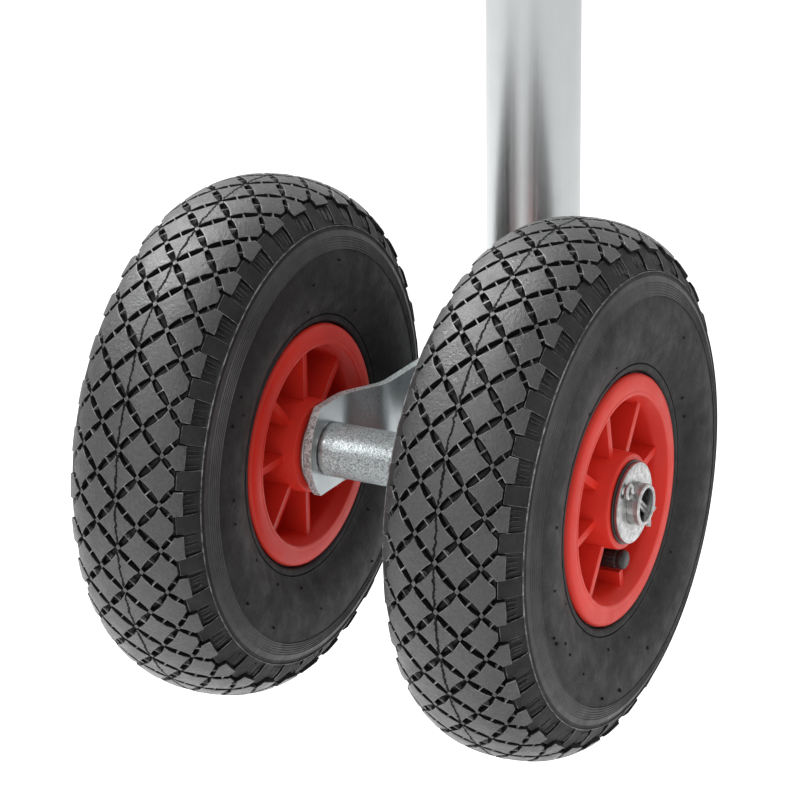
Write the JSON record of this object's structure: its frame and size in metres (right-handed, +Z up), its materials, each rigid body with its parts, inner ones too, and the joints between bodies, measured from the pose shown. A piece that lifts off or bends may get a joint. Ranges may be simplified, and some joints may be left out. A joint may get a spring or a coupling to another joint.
{
  "type": "twin-wheel trailer jockey wheel",
  "caption": "Trailer jockey wheel: crank-driven lifting leg in a 48 mm clamp tube, swivelling fork and two pneumatic wheels with red rims.",
  "frame": {"origin": "on the clamp tube's axis, halfway along its bare length", "axes": "+Z up along the clamp tube, +Y to the rear (the wheels trail in front at -Y), +X along the axle to the right"},
  "size_m": [0.26, 0.404, 0.7014],
  "materials": {
    "zinc_tube": "bright galvanised, faint drawing lines",
    "zinc_plate": "zinc plated pressed steel",
    "zinc_turned": "zinc plated turned steel, sparkly",
    "dark_steel": "dark oiled steel",
    "bearing_steel": "greased ground steel",
    "bronze": "machined bronze",
    "red_plastic": "moulded polypropylene, satin",
    "tyre_rubber": "moulded tyre rubber, soft sheen",
    "soft_rubber": "smooth rubber",
    "black_plastic": "black moulded plastic",
    "cage_plastic": "nylon bearing cage"
  },
  "bodies": {
    "mast": {"clamp_tube": "zinc_tube", "head_plug": "zinc_plate", "thrust_bearing": "bearing_steel"},
    "crank": {"spindle": "bearing_steel", "thrust_collar": "dark_steel", "collar_pin": "dark_steel", "crank_arm": "zinc_plate", "crank_pin": "dark_steel", "grip_stud": "zinc_turned", "grip_retainer": "zinc_turned"},
    "grip": {"crank_grip": "black_plastic"},
    "lift_nut": {"spindle_nut": "bronze"},
    "leg": {"leg_tube": "zinc_tube", "fork_plate_left": "zinc_plate", "fork_plate_right": "zinc_plate", "fork_web_top": "zinc_plate", "fork_web_bottom": "zinc_plate", "spacer_tube": "zinc_turned", "axle": "zinc_turned", "inner_washers": "zinc_turned", "dust_washers": "dark_steel", "outer_washers": "zinc_turned", "split_pins": "zinc_turned"},
    "wheel_left": {"rim_left": "red_plastic", "tyre_left": "tyre_rubber", "air_tube_left": "soft_rubber", "valve_stem_left": "soft_rubber", "valve_cap_left": "black_plastic", "bearing_sleeve_left": "bearing_steel", "roller_cage_left": "cage_plastic", "rollers_left": "bearing_steel", "hub_seals_left": "black_plastic"},
    "wheel_right": {"rim_right": "red_plastic", "tyre_right": "tyre_rubber", "air_tube_right": "soft_rubber", "valve_stem_right": "soft_rubber", "valve_cap_right": "black_plastic", "bearing_sleeve_right": "bearing_steel", "roller_cage_right": "cage_plastic", "rollers_right": "bearing_steel", "hub_seals_right": "black_plastic"}
  },
  "joints": [
    {"name": "crank_turn", "type": "hinge", "parent": "mast", "child": "crank", "pos_m": [0, 0, 0.21], "axis": [0, 0, 1], "range_deg": [0, 18000]},
    {"name": "grip_spin", "type": "hinge", "parent": "crank", "child": "grip", "pos_m": [0, 0.115, 0.28], "axis": [0, 0, 1], "continuous": true},
    {"name": "leg_slide", "type": "slide", "parent": "mast", "child": "lift_nut", "axis": [0, 0, -1], "range_m": [0, 0.2]},
    {"name": "leg_swivel", "type": "hinge", "parent": "lift_nut", "child": "leg", "pos_m": [0, 0, -0.2], "axis": [0, 0, 1], "continuous": true},
    {"name": "wheel_left_spin", "type": "hinge", "parent": "leg", "child": "wheel_left", "pos_m": [-0.0834, -0.145, -0.238], "axis": [1, 0, 0], "continuous": true},
    {"name": "wheel_right_spin", "type": "hinge", "parent": "leg", "child": "wheel_right", "pos_m": [0.0834, -0.145, -0.238], "axis": [1, 0, 0], "continuous": true}
  ],
  "couplings": [
    {"joint": "leg_slide", "follows": "crank_turn", "m_per_rad": 0.00063662}
  ]
}
